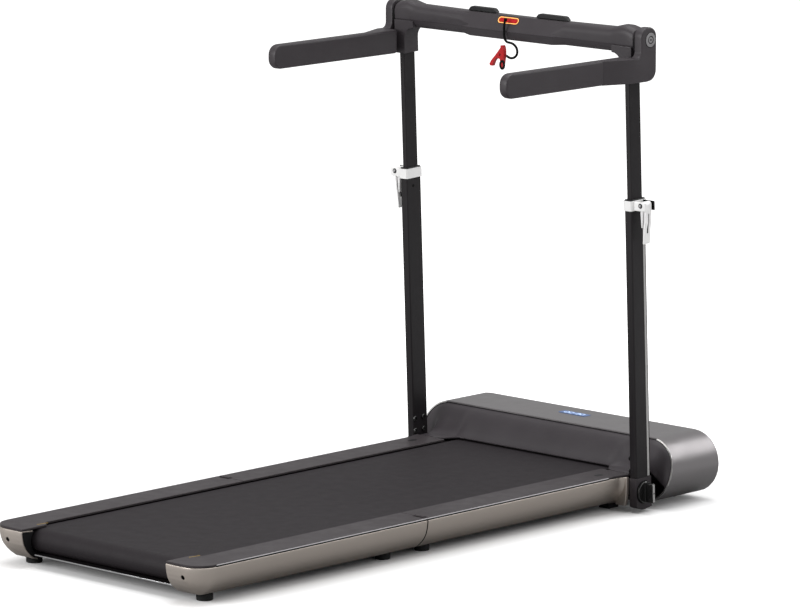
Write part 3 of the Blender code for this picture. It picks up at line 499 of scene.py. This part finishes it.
def skin(work, rows):
    """Joins four rows of vertices into a closed tube, one face for each step along a row."""
    count = len(rows[0])
    for a in range(4):
        first, second = rows[a], rows[(a + 1) % 4]
        for i in range(count):
            j = (i + 1) % count
            work.faces.new((first[i], first[j], second[j], second[i]))


def band(inner, outer, low, high):
    """Fills a bmesh with a flat ring between two outlines of equal length, along local Z."""

    def fill(work):
        rows = []
        for points, z in ((inner, low), (outer, low), (outer, high), (inner, high)):
            rows.append([work.verts.new((u, v, z)) for u, v in points])
        skin(work, rows)

    return fill


def prism(points, low, high):
    """Fills a bmesh with an outline extruded along local Z."""

    def fill(work):
        ends = [[work.verts.new((u, v, z)) for u, v in points] for z in (low, high)]
        for end in ends:
            work.faces.new(end)
        for i in range(len(points)):
            j = (i + 1) % len(points)
            work.faces.new((ends[0][i], ends[0][j], ends[1][j], ends[1][i]))

    return fill


def placed(fill, matrix):
    """Fills as before, then moves the result."""

    def both(work):
        fill(work)
        bmesh.ops.transform(work, matrix=matrix, verts=work.verts)

    return both


def flipped(fill, side, matrix=HERE):
    """Fills as before, mirrored for the left side and then placed."""
    return placed(fill, matrix @ Matrix.Scale(-1.0, 4, (1, 0, 0)) if side < 0 else matrix)


# Turns for an outline drawn in local X and Y, so that it is extruded along X, or along Y
ALONG_X = Matrix(((0, 0, 1, 0), (1, 0, 0, 0), (0, 1, 0, 0), (0, 0, 0, 1)))
ALONG_Y = Matrix(((1, 0, 0, 0), (0, 0, 1, 0), (0, 1, 0, 0), (0, 0, 0, 1)))
HALF_TURN = Matrix.Rotation(math.pi, 4, "Z")

# Turned profiles: (radius, height above the face)
BOLT = [(0.0004, 0.0), (0.0004, 0.0024), (0.0018, 0.0026), (0.0027, 0.0016), (0.0028, 0.0)]
WASHER = [(0.0027, 0.0), (0.0028, 0.0012), (0.0044, 0.0012), (0.0052, 0.0006), (0.0053, 0.0)]
DOME = [
    (0.0003, 0.0), (0.0003, 0.0010), (0.0022, 0.0010), (0.0026, 0.0030), (0.0050, 0.0028),
    (0.0058, 0.0016), (0.0058, 0.0),
]
PIT = [(0.0003, -0.0003), (0.0003, 0.00015), (0.0022, 0.0004), (0.0030, 0.0004), (0.0031, -0.0003)]

# The four screws on the inner face of each post: (ahead, up) from the fold axis
POST_SCREWS = ((-0.0165, 0.0715), (0.0085, 0.0715), (-0.0165, 0.0453), (0.0085, 0.0453))


def post_faces(label, side):
    """The pale line down the outer face of a post, and a thin near-black quarter ring on its outer
    rear corner as painted shade.
    """
    strip = slab((TUBE_OUT - 0.0002, 0.0120, POST_LOW), (TUBE_OUT + 0.0004, 0.0178, POST_HIGH))
    piece(f"post_strip_{label}", flipped(strip, side, LEAN), STRIP, "handle_frame")
    # The near-black quarter ring laid on the rounded corner is painted shade.
    corner = [math.radians(90 * i / 6) for i in range(7)]
    edge = [(0.0034 * math.cos(t), 0.0034 * math.sin(t)) for t in corner]
    edge += [(0.0039 * math.cos(t), 0.0039 * math.sin(t)) for t in reversed(corner)]
    centre = Matrix.Translation((TUBE_OUT - TUBE_CORNER, TUBE_HALF - TUBE_CORNER, 0.0))
    edge = placed(prism(edge, POST_LOW, POST_HIGH), centre)
    piece(f"post_corner_shade_{label}", flipped(edge, side, LEAN), BLACK_AND_SHADE, "handle_frame")


def clamp_gaps(label, side):
    """A near-black sheet between the clamp's jaws as painted shadow of the gap there, and the slot
    in its lever.
    """
    # The near-black sheet stands for the shadow in the gap: painted shadow.
    shadow_sheet = slab((0.3270, 0.0119, 0.5915), (0.3574, 0.0124, 0.6107))
    piece(f"clamp_shadow_{label}", flipped(shadow_sheet, side, LEAN), BLACK_AND_SHADE, "handle_frame")
    slot = slab((0.3452, -0.0019, 0.5450), (0.3486, 0.0019, 0.5850))
    lever = nodes[f"clamp_lever_{label}"]["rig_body"]
    piece(f"lever_slot_{label}", flipped(slot, side, LEAN), BLACK, lever)


def post_holes(label, side):
    """The screws and the hole on the inner face of a post, and the lip at the tube's top."""
    facing_in = HALF_TURN if side > 0 else HERE
    for i, (v, w) in enumerate(POST_SCREWS):
        at = LEAN @ Matrix.Translation((side * (TUBE_IN + 0.0001), v, w)) @ facing_in
        piece(f"post_screw_{label}_{i}", turned_ring(DOME, 24), SCREW, "handle_frame",
              place_at=at)
    at = LEAN @ Matrix.Translation((side * TUBE_IN, -0.0030, 0.5733)) @ facing_in
    piece(f"post_hole_{label}", turned_ring(PIT, 20), BLACK_AND_SHADE, "handle_frame",
          place_at=at)
    outer, inner = rounded_points(0.0098, 0.0222, 0.0035), rounded_points(0.00655, 0.0176, 0.0025)
    inner, outer = ([(side * (POST_X + u), v) for u, v in line] for line in (inner, outer))
    piece(f"post_lip_{label}", band(inner, outer, 0.6108, 0.6134), BLACK, "handle_frame",
          0.0005, LEAN)


def clamp_bolts(label, side):
    """The cross bolt's two heads, each on its washer: behind the clamp, then ahead of it."""
    for i, (v, quarter) in enumerate(((-0.0170, -90), (0.0170, 90))):
        turn = Matrix.Rotation(math.radians(quarter), 4, "Z")
        at = LEAN @ Matrix.Translation((side * LEVER_X, v, LEVER_W)) @ turn
        piece(f"clamp_bolt_{label}_{i}", turned_ring(BOLT, 20), STEEL, "handle_frame",
              place_at=at)
        piece(f"clamp_washer_{label}_{i}", turned_ring(WASHER, 20), SCREW, "handle_frame",
              place_at=at)


for label, side in SIDES:
    post_faces(label, side)
    clamp_gaps(label, side)
    post_holes(label, side)
    clamp_bolts(label, side)


def hinge_details():
    """The rail's foot at the post, the knob's fittings with a pale strip on the wing as painted
    highlight, and the spacers of the crossbar.
    """
    section = (
        (0.2750, 0.0752), (0.3036, 0.0756), (0.3046, 0.0735), (0.3047, 0.0500),
        (0.3035, 0.0300), (0.3005, 0.0155), (0.2750, 0.0155),
    )
    ring = [(0.0222, 0.3258), (0.0222, 0.3280), (0.0236, 0.3276), (0.0240, 0.3258)]
    dot = [(0.0003, 0.3521), (0.0003, 0.3527), (0.0016, 0.3526), (0.0019, 0.3521)]
    # A pale strip on the wing's outer face: a painted highlight.
    edge = slab((0.3520, -0.0026, -0.0188), (0.3524, 0.0026, 0.0188))
    centre = LEAN @ Matrix.Translation((0.0, BAR_V, BAR_W)) @ ALONG_X
    for label, side in SIDES:
        foot = placed(prism(section, 0.4900, 0.4984), ALONG_Y)
        piece(f"rail_foot_{label}", flipped(foot, side), CHAMPAGNE, "base",
              0.0012)
        knob = nodes[f"wing_knob_{label}"]["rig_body"]
        parts = (
            ("ring", turned_ring(ring, 40), BLACK_AND_SHADE, "handle_frame"),
            ("edge", edge, STRIP, knob),
            ("screw", turned_ring(dot, 16), BLACK_AND_SHADE, knob),
        )
        for part, fill, look, body in parts:
            piece(f"knob_{part}_{label}", flipped(fill, side, LEAN), look, body)
        spacer = placed(prism(ellipse_points(0.0206, 0.0234, 32), 0.3340, 0.3383), centre)
        piece(f"lug_spacer_{label}", flipped(spacer, side), BLACK_AND_SHADE, "upper_frame")


def rim_highlights():
    """A thin ring, paler than the shell, round each end of the rear cover at the housing shell's
    edge: a painted highlight.
    """
    middle = HOUSE_TOP - HOUSE_R
    # The ring's pale colour is a painted highlight.
    section = ((0.0622, -0.0004), (0.0652, -0.0004), (0.0652, 0.0006), (0.0622, 0.0006))
    turns = [math.radians(-78 + 160 * i / 40) for i in range(41)]

    def fill(work):
        rows = []
        for turn in turns:
            row = []
            for r, ahead in section:
                z = middle + r * math.sin(turn)
                y = HOUSE_REAR - HOUSE_RAKE * (HOUSE_TOP - z) + ahead
                row.append(work.verts.new((HOUSE_MID + r * math.cos(turn), y, z)))
            rows.append(row)
        for first, second in zip(rows, rows[1:]):
            for i in range(4):
                j = (i + 1) % 4
                work.faces.new((first[i], first[j], second[j], second[i]))
        work.faces.new(rows[0])
        work.faces.new(rows[-1])

    for label, side in SIDES:
        piece(f"shell_rim_highlight_{label}", flipped(fill, side), RIM, "base")


hinge_details()
rim_highlights()


# Rings of the cap over the armrest's pivot: part, look, inner and outer radius with the heights
CAP_RINGS = (
    ("outline", BLACK_AND_SHADE, [(0.0147, -0.0003), (0.0148, 0.0002), (0.0160, 0.0002), (0.0161, -0.0003)]),
    ("disc", CAP_GREY, [(0.0083, -0.0003), (0.0083, 0.0007), (0.0142, 0.0007), (0.0148, 0.0001),
                        (0.0148, -0.0003)]),
    ("groove", BLACK_AND_SHADE, [(0.0062, -0.0003), (0.0063, 0.0003), (0.0083, 0.0003), (0.0084, -0.0003)]),
    ("hub", CAP_GREY, [(0.0022, -0.0003), (0.0022, 0.0008), (0.0058, 0.0008), (0.0063, 0.0003),
                       (0.0063, -0.0003)]),
    ("centre", BLACK_AND_SHADE, [(0.0003, -0.0003), (0.0003, 0.0004), (0.0022, 0.0004), (0.0023, -0.0003)]),
)
ARMREST_PIVOT = (0.4935, 0.9860)    # Y and Z


def armrest_caps():
    """The round cap on the outer face of each armrest."""
    for label, side in SIDES:
        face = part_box(f"handle_{label}")[1 if side > 0 else 0].x
        at = Matrix.Translation((face, *ARMREST_PIVOT)) @ (HALF_TURN if side < 0 else HERE)
        for part, look, profile in CAP_RINGS:
            piece(f"pivot_cap_{part}_{label}", turned_ring(profile, 36), look,
                  f"armrest_{label}", place_at=at)


armrest_caps()


def key_surround():
    """The lit ring round the safety key and its dark collar, on the crossbar's flat face."""
    low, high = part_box("safety_key")
    face_top = Vector((-0.0100, 0.0240))
    face_low = Vector((-0.0290, -0.0065))
    middle = face_top.lerp(face_low, 0.30)
    tilt = math.atan2(face_top.x - face_low.x, face_top.y - face_low.y)
    centre = ((low.x + high.x) / 2, BAR_V + middle.x, BAR_W + middle.y)
    face = LEAN @ Matrix.Translation(centre)
    face = face @ Matrix.Rotation(-tilt, 4, "X") @ Matrix.Rotation(math.pi / 2, 4, "X")
    parts = (
        ("key_light", GLOW, "red_plastic", (0.0266, 0.0053), (0.0284, 0.0070), 0.0010),
        ("key_collar", BLACK, "black_plastic", (0.0283, 0.0069), (0.0296, 0.0082), 0.0007),
    )
    for name, look, slot, inner, outer, height in parts:
        ring = band(stadium_points(*inner), stadium_points(*outer), -0.0020, height)
        piece(name, ring, look, "upper_frame", 0.0003, face)


key_surround()


# A digit's bars: middle across, middle up, and whether it lies flat. Both are shares of the digit.
BARS = {
    "a": (0.5, 1.0, True), "b": (1.0, 0.75, False), "c": (1.0, 0.25, False),
    "d": (0.5, 0.0, True), "e": (0.0, 0.25, False), "f": (0.0, 0.75, False), "g": (0.5, 0.5, True),
}
BARS_OF = {"0": "abcdef", "3": "abcdg"}
DIGIT_WIDE = 0.0085
DIGIT_TALL = 0.0108
DIGIT_LINE = 0.0014
DIGIT_RAISED = 0.0003


def lit_digits():
    """Four plain seven-segment digits and a colon on the display."""
    low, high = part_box("display_lens")
    middle = (low + high) / 2

    def fill(work):
        def bar(x, v, half_u, half_v):
            y = middle.y - DIGIT_TALL / 2 + v * DIGIT_TALL
            size = Matrix.Diagonal((2 * half_u, 2 * half_v, DIGIT_RAISED, 1.0))
            at = Matrix.Translation((x, y, high.z)) @ size
            bmesh.ops.create_cube(work, size=1.0, matrix=at)

        for digit, left in zip("0030", (-0.0262, -0.0135, 0.0050, 0.0177)):
            for letter in BARS_OF[digit]:
                u, v, flat = BARS[letter]
                half_u = DIGIT_WIDE / 2 - DIGIT_LINE * 0.6 if flat else DIGIT_LINE / 2
                half_v = DIGIT_LINE / 2 if flat else DIGIT_TALL / 4 - DIGIT_LINE * 0.6
                bar(middle.x + left + u * DIGIT_WIDE, v, half_u, half_v)
        for v in (0.3, 0.7):
            bar(middle.x, v, DIGIT_LINE / 2, DIGIT_LINE / 2)

    piece("display_digits", fill, DIGITS, "base")


lit_digits()


def deck_details():
    """The steel strip under the rear edge, and the oval caps and printed dashes on the trims."""
    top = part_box("trim_rear_right")[1].z
    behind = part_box("subframe_rear")[0].y
    strip = slab((-0.1965, behind - 0.0006, 0.0257), (0.1965, behind + 0.0010, 0.0282))
    piece("rear_edge_strip", strip, STEEL, "rear_deck", 0.0003)
    for label, side in SIDES:
        at = Matrix.Translation((side * 0.2640, 0.4500, top)) @ Matrix.Rotation(math.pi / 2, 4, "Z")
        cap = band(stadium_points(0.0001, 0.00005), stadium_points(0.0112, 0.0060), 0.00005, 0.0004)
        piece(f"rail_cap_{label}", cap, BLACK, "base", place_at=at)
        turn = Matrix.Rotation(math.radians(82), 4, "Z")
        at = Matrix.Translation((side * 0.2150, -0.6600, top)) @ turn
        dash = slab((-0.0130, -0.0007, 0.00002), (0.0130, 0.0007, 0.00025))
        piece(f"rail_dash_{label}", dash, AMBER, "rear_deck", place_at=at)


deck_details()


def seam_details():
    """The painted highlight line and the dark gap along the trims, the black joint of the rails and
    the pads under the hinge pins."""
    joint = [(RAIL_OUT + 0.0003 - inward, z) for inward, z in RAIL_SECTION]
    joint = placed(prism(joint, SEAM_Y - 0.0005, SEAM_Y + 0.0019), ALONG_Y)
    behind, ahead = SEAM_Y - SEAM_HALF, SEAM_Y + SEAM_HALF
    # (half, body, ends of the line along the trim, ends of the hinge's notch)
    halves = (
        ("rear", "rear_deck", (-0.6800, behind), (SEAM_Y - 0.0078, behind)),
        ("front", "base", (ahead, 0.4450), (ahead, SEAM_Y + 0.0078)),
    )
    for label, side in SIDES:
        piece(f"rail_joint_{label}", flipped(joint, side), BLACK_AND_SHADE, "base")
        for half, body, line, notch in halves:
            # The pale line is a painted highlight along the trim's outer edge.
            bright = slab((TRIM_EDGE, line[0], 0.0785), (0.2960, line[1], 0.0803))
            dark = slab((TRIM_EDGE, line[0], 0.0760), (0.2965, line[1], 0.0784))
            pad = slab((0.2600, notch[0], 0.0762), (0.2900, notch[1], 0.0768))
            piece(f"trim_highlight_line_{half}_{label}", flipped(bright, side), HIGHLIGHT_LINE, body)
            piece(f"trim_gap_{half}_{label}", flipped(dark, side), BLACK_AND_SHADE, body)
            piece(f"hinge_pad_{half}_{label}", flipped(pad, side), TRIM, body)


seam_details()


BELT_THICK = 0.0020
BELT_BEND = 0.036      # finer steps over this length on each side of the fold
COARSE = 30            # steps along each straight half, round a roller and about the fold
ROUND_ROLLER = 16
FINE = 36


def belt_loop(behind, seam, ahead):
    """The belt's loop as (y, and the way outward in y and z), top run first."""
    near, far = seam - BELT_BEND, seam + BELT_BEND
    run = [behind + (near - behind) * i / COARSE for i in range(COARSE)]
    run += [near + 2 * BELT_BEND * i / FINE for i in range(FINE)]
    run += [far + (ahead - far) * i / COARSE for i in range(COARSE + 1)]
    turns = [math.pi * i / ROUND_ROLLER for i in range(1, ROUND_ROLLER)]
    loop = [(y, 0.0, 1.0) for y in run]
    loop += [(ahead, math.sin(turn), math.cos(turn)) for turn in turns]
    loop += [(y, 0.0, -1.0) for y in reversed(run)]
    return loop + [(behind, -math.sin(turn), -math.cos(turn)) for turn in turns]


def running_belt():
    """The whole belt in one piece round both rollers, with finer steps about the deck's fold."""
    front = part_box("belt_front")
    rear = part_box("belt_rear")
    half = front[1].x
    top, low = front[1].z, front[0].z
    radius = (top - low) / 2
    middle = (top + low) / 2
    seam = (front[0].y + rear[1].y) / 2
    loop = belt_loop(rear[0].y + radius, seam, front[1].y - radius)

    def fill(work):
        rows = []
        for x, depth in ((-half, 0.0), (-half, BELT_THICK), (half, BELT_THICK), (half, 0.0)):
            r = radius - depth
            rows.append([work.verts.new((x, y + r * v, middle + r * w)) for y, v, w in loop])
        skin(work, rows)

    made = piece("running_belt", fill, BELT, None)
    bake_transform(made)
    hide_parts("belt_front", "belt_rear")


running_belt()

# The safety cord's middle line, from the key's face to its clip
CORD_ROUTE = (
    (-0.0105, 0.4634, 1.0002), (-0.0104, 0.4606, 0.9970), (-0.0102, 0.4583, 0.9925),
    (-0.0100, 0.4569, 0.9870), (-0.0095, 0.4560, 0.9775), (-0.0086, 0.4553, 0.9675),
    (-0.0062, 0.4549, 0.9590), (-0.0002, 0.4547, 0.9535), (0.0080, 0.4544, 0.9525),
    (0.0175, 0.4542, 0.9508), (0.0262, 0.4537, 0.9452), (0.0307, 0.4527, 0.9370),
    (0.0298, 0.4514, 0.9290), (0.0240, 0.4500, 0.9235), (0.0160, 0.4490, 0.9218),
    (0.0090, 0.4485, 0.9236), (0.0050, 0.4480, 0.9262),
)
CORD = 0.0050


def smooth_route(points, steps=6):
    """Points on a Catmull-Rom curve through the route."""
    route = [Vector(point) for point in points]
    ends = [2 * route[0] - route[1]] + route + [2 * route[-1] - route[-2]]
    fine = []
    for i in range(1, len(ends) - 2):
        a, b, c, d = ends[i - 1:i + 3]
        for k in range(steps):
            t = k / steps
            square = (2 * a - 5 * b + 4 * c - d) * t * t
            cube = (3 * b - a - 3 * c + d) * t ** 3
            fine.append(0.5 * (2 * b + (c - a) * t + square + cube))
    return fine + [route[-1]]


def safety_cord():
    """The limp cord with its knot, and the clip's grip. They hang together from the key."""
    points = smooth_route(CORD_ROUTE)
    data = bpy.data.curves.new("safety_cord", "CURVE")
    data.dimensions = "3D"
    data.bevel_depth = CORD / 2
    data.bevel_resolution = 5
    data.use_fill_caps = True
    spline = data.splines.new("POLY")
    spline.points.add(len(points) - 1)
    for point, where in zip(spline.points, points):
        point.co = (*where, 1.0)
    data.materials.append(CORD_LOOK)
    obj = bpy.data.objects.new("safety_cord", data)
    place(obj, "key_set")
    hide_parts("lanyard")
    knot = [(0.0003, -0.0030), (0.0030, -0.0022), (0.0041, 0.0), (0.0030, 0.0022), (0.0003, 0.0030)]
    at = Matrix.Translation((-0.0102, 0.4612, 0.9980))
    bead = piece("cord_knot", turned_ring(knot, 16), CORD_LOOK, "key_set",
                 place_at=at)
    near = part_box("lanyard_clip")[0].y
    turn = Matrix.Rotation(math.pi / 2, 4, "X")
    at = Matrix.Translation((-0.0027, near + 0.0004, 0.9066)) @ turn
    grip = band(ellipse_points(0.0034, 0.0052), ellipse_points(0.0078, 0.0102), -0.0008, 0.0016)
    pad = piece("clip_grip", grip, BLACK_AND_SHADE, "key_set", 0.0006, at)


safety_cord()

WHITE = (1.0, 1.0, 1.0, 1.0)


def studio_world():
    """White to the camera, grey to the object."""
    world = bpy.data.worlds.new("studio")
    world.use_nodes = True
    tree = world.node_tree
    background = tree.nodes["Background"]
    background.inputs["Color"].default_value = WHITE
    background.inputs["Strength"].default_value = SKY
    seen = tree.nodes.new("ShaderNodeBackground")
    seen.inputs["Color"].default_value = WHITE
    paths = tree.nodes.new("ShaderNodeLightPath")
    mix = tree.nodes.new("ShaderNodeMixShader")
    tree.links.new(paths.outputs["Is Camera Ray"], mix.inputs[0])
    tree.links.new(background.outputs[0], mix.inputs[1])
    tree.links.new(seen.outputs[0], mix.inputs[2])
    tree.links.new(mix.outputs[0], tree.nodes["World Output"].inputs["Surface"])
    bpy.context.scene.world = world


def floor_look():
    """A matt floor. The camera sees it pale, and white further off. To the object it is darker,
    most of all behind, so that its reflections have some contrast."""
    look = bpy.data.materials.new("studio_floor")
    look.use_nodes = True
    tree = look.node_tree
    shader = tree.nodes["Principled BSDF"]
    shader.inputs["Roughness"].default_value = 0.9
    shader.inputs["Specular IOR Level"].default_value = 0.0
    shader.inputs["Emission Color"].default_value = WHITE
    where = tree.nodes.new("ShaderNodeTexCoord").outputs["Object"]
    seen = tree.nodes.new("ShaderNodeLightPath").outputs["Is Camera Ray"]

    def ramp(value, start, end, low, high):
        """A soft step. high is a number or a socket."""
        node = tree.nodes.new("ShaderNodeMapRange")
        node.interpolation_type = "SMOOTHSTEP"
        tree.links.new(value, node.inputs["Value"])
        for key, number in (("From Min", start), ("From Max", end), ("To Min", low)):
            node.inputs[key].default_value = number
        if isinstance(high, float):
            node.inputs["To Max"].default_value = high
        else:
            tree.links.new(high, node.inputs["To Max"])
        return node.outputs["Result"]

    def measure(operation):
        node = tree.nodes.new("ShaderNodeVectorMath")
        node.operation = operation
        tree.links.new(where, node.inputs[0])
        return node

    away = measure("LENGTH").outputs["Value"]
    glow = ramp(seen, 0.0, 1.0, 0.0, ramp(away, 0.4, 2.2, 0.0, 0.75))
    tree.links.new(glow, shader.inputs["Emission Strength"])
    behind = measure("DOT_PRODUCT")
    turn = math.radians(AZIMUTH)
    behind.inputs[1].default_value = (-math.sin(turn), math.cos(turn), 0.0)
    dark = tree.nodes.new("ShaderNodeMix")
    tree.links.new(ramp(behind.outputs["Value"], 0.6, 2.0, 0.0, 1.0), dark.inputs["Factor"])
    tree.links.new(ramp(away, 0.5, 2.5, FLOOR_NEAR, FLOOR_FAR), dark.inputs["A"])
    dark.inputs["B"].default_value = FLOOR_BEHIND
    pale = tree.nodes.new("ShaderNodeMix")
    pale.data_type = "RGBA"
    pale.inputs["B"].default_value = (FLOOR_SEEN, FLOOR_SEEN, FLOOR_SEEN, 1.0)
    tree.links.new(seen, pale.inputs["Factor"])
    tree.links.new(dark.outputs["Result"], pale.inputs["A"])
    tree.links.new(pale.outputs["Result"], shader.inputs["Base Color"])
    return look


def studio_floor():
    bpy.ops.mesh.primitive_plane_add(size=60.0, location=(0.0, 0.0, 0.0))
    floor = bpy.context.object
    floor.name = "studio_floor"
    floor.data.materials.append(floor_look())


def studio_lamps():
    for name, azimuth, height, distance, size, power in LAMPS:
        data = bpy.data.lights.new(name, "AREA")
        data.shape = "SQUARE"
        data.size = size
        data.energy = power
        lamp = bpy.data.objects.new(name, data)
        bpy.context.scene.collection.objects.link(lamp)
        a = math.radians(azimuth)
        e = math.radians(height)
        back = Vector((math.sin(a) * math.cos(e), -math.cos(a) * math.cos(e), math.sin(e)))
        lamp.location = LAMP_AIM + back * distance
        lamp.rotation_euler = back.to_track_quat("Z", "Y").to_euler()


studio_world()
studio_floor()
studio_lamps()
bpy.context.scene.view_settings.view_transform = "Standard"
